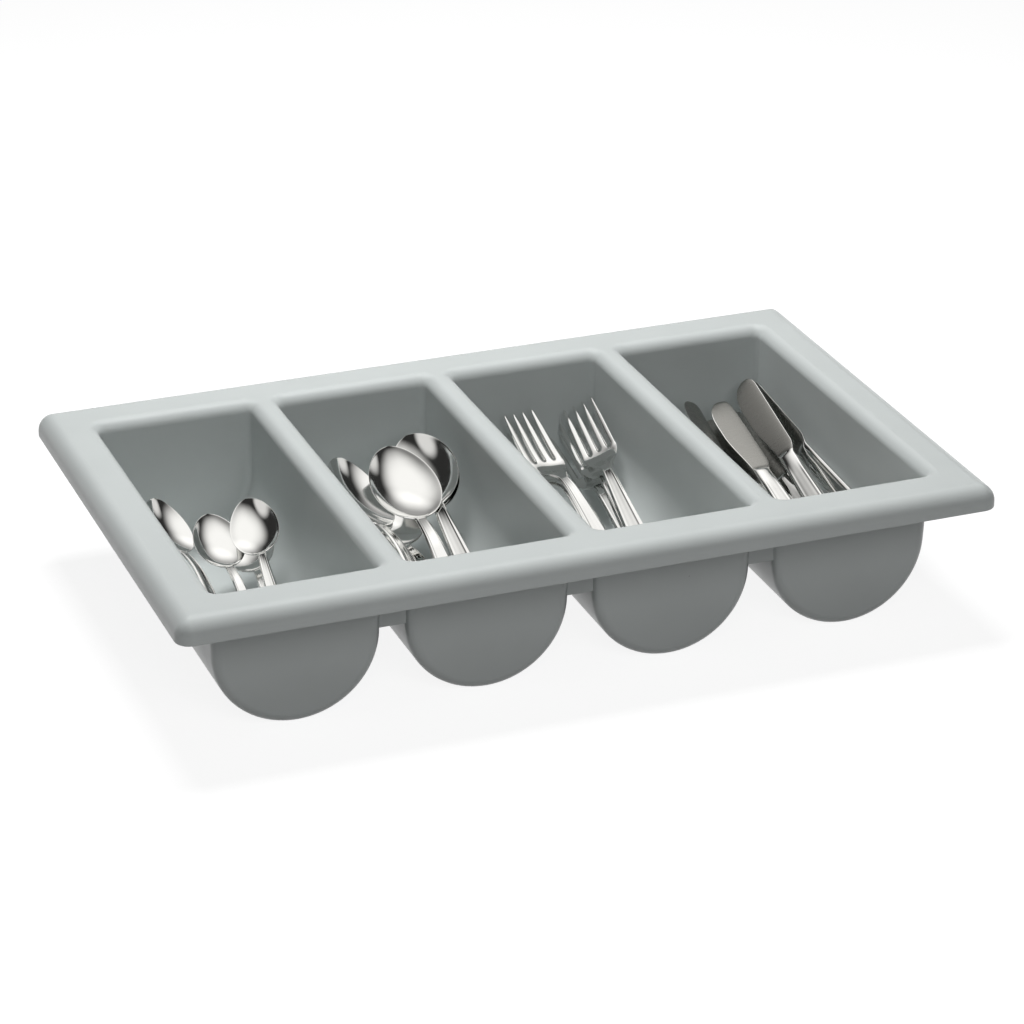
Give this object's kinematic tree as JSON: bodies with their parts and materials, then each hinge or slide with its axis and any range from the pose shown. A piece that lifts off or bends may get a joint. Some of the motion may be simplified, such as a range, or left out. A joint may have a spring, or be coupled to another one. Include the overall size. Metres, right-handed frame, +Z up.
{
  "type": "cutlery tray",
  "caption": "Full-size moulded cutlery tray with rounded troughs under one rim, holding teaspoons, tablespoons, forks and knives.",
  "frame": {"origin": "on the floor plane under the troughs, in the middle of the tray's plan", "axes": "+X along the tray's long side, +Y to the back, away from the cutlery's handle ends, +Z up"},
  "size_m": [0.53, 0.325, 0.098],
  "materials": {
    "moulded_plastic": "satin moulded polypropylene",
    "stainless_steel": "polished stainless steel"
  },
  "bodies": {
    "tray": {"tray": "moulded_plastic"},
    "teaspoons": {"teaspoon_1": "stainless_steel", "teaspoon_2": "stainless_steel", "teaspoon_3": "stainless_steel", "teaspoon_4": "stainless_steel"},
    "tablespoons": {"tablespoon_1": "stainless_steel", "tablespoon_2": "stainless_steel", "tablespoon_3": "stainless_steel", "tablespoon_4": "stainless_steel", "tablespoon_5": "stainless_steel", "tablespoon_6": "stainless_steel"},
    "forks": {"fork_1": "stainless_steel", "fork_2": "stainless_steel", "fork_3": "stainless_steel", "fork_4": "stainless_steel", "fork_5": "stainless_steel", "fork_6": "stainless_steel"},
    "knives": {"knife_1": "stainless_steel", "knife_2": "stainless_steel", "knife_3": "stainless_steel", "knife_4": "stainless_steel", "knife_5": "stainless_steel", "knife_6": "stainless_steel", "knife_7": "stainless_steel"}
  },
  "joints": [
    {"name": "lift_teaspoons", "type": "slide", "parent": "tray", "child": "teaspoons", "axis": [0, 0, 1], "range_m": [0, 0.12]},
    {"name": "lift_tablespoons", "type": "slide", "parent": "tray", "child": "tablespoons", "axis": [0, 0, 1], "range_m": [0, 0.12]},
    {"name": "lift_forks", "type": "slide", "parent": "tray", "child": "forks", "axis": [0, 0, 1], "range_m": [0, 0.12]},
    {"name": "lift_knives", "type": "slide", "parent": "tray", "child": "knives", "axis": [0, 0, 1], "range_m": [0, 0.12]}
  ]
}
